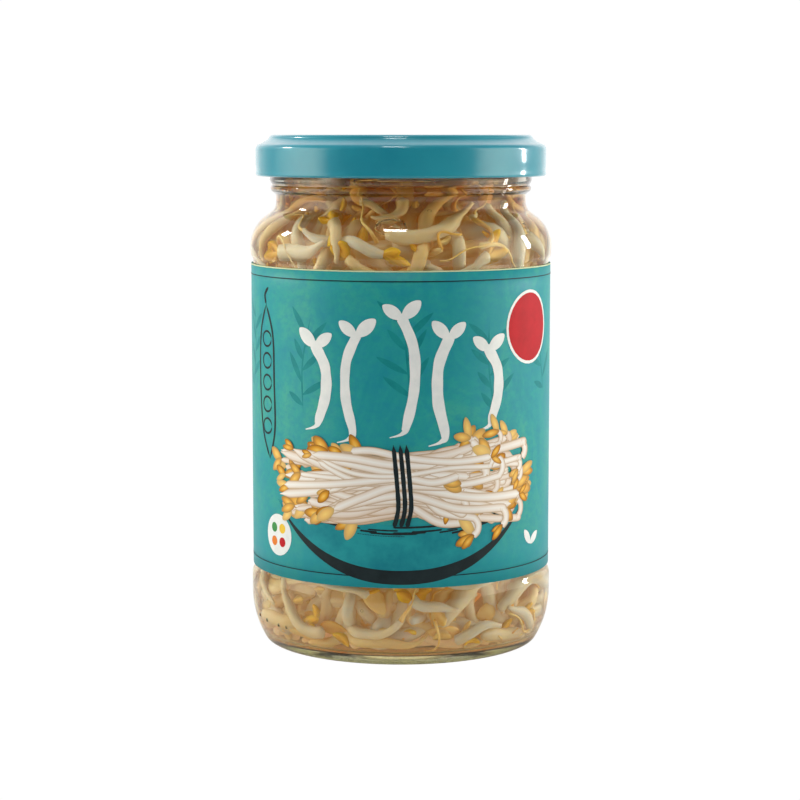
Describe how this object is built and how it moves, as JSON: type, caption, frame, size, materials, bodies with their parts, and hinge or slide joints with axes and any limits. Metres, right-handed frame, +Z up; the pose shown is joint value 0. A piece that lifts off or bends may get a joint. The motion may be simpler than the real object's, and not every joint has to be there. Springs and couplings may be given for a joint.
{
  "type": "jar of bean sprouts",
  "caption": "Glass jar packed with bean sprouts in brine, with a paper wrap label and a metal twist-off lid that turns on the jar's lug thread.",
  "frame": {"origin": "centre of the jar's foot, on the surface that it stands on", "axes": "+Z up the jar's axis towards the lid, -Y out of the front of the label, +X to the front's right"},
  "size_m": [0.072, 0.072, 0.121],
  "materials": {
    "jar_glass": "clear, smooth, slightly green at the edges",
    "lid_paint": "glossy teal enamel",
    "seal_compound": "matte, soft, off-white",
    "label_paper": "satin coated paper, printed in teal",
    "brine": "clear amber liquid",
    "sprout_flesh": "wet, smooth, cream to golden"
  },
  "bodies": {
    "jar": {"glass_jar": "jar_glass", "label": "label_paper", "brine": "brine", "sprouts_bottom": "sprout_flesh", "sprouts_middle": "sprout_flesh", "sprouts_top": "sprout_flesh"},
    "seal": {"lid_seal": "seal_compound"},
    "lid": {"lid": "lid_paint"}
  },
  "joints": [
    {"name": "lid_rise", "type": "slide", "parent": "jar", "child": "seal", "axis": [0, 0, 1], "range_m": [0, 0.0013]},
    {"name": "lid_twist", "type": "hinge", "parent": "seal", "child": "lid", "pos_m": [0, 0, 0.115], "axis": [0, 0, 1], "range_deg": [0, 65]}
  ],
  "couplings": [
    {"joint": "lid_rise", "follows": "lid_twist", "m_per_rad": 0.0011141}
  ]
}
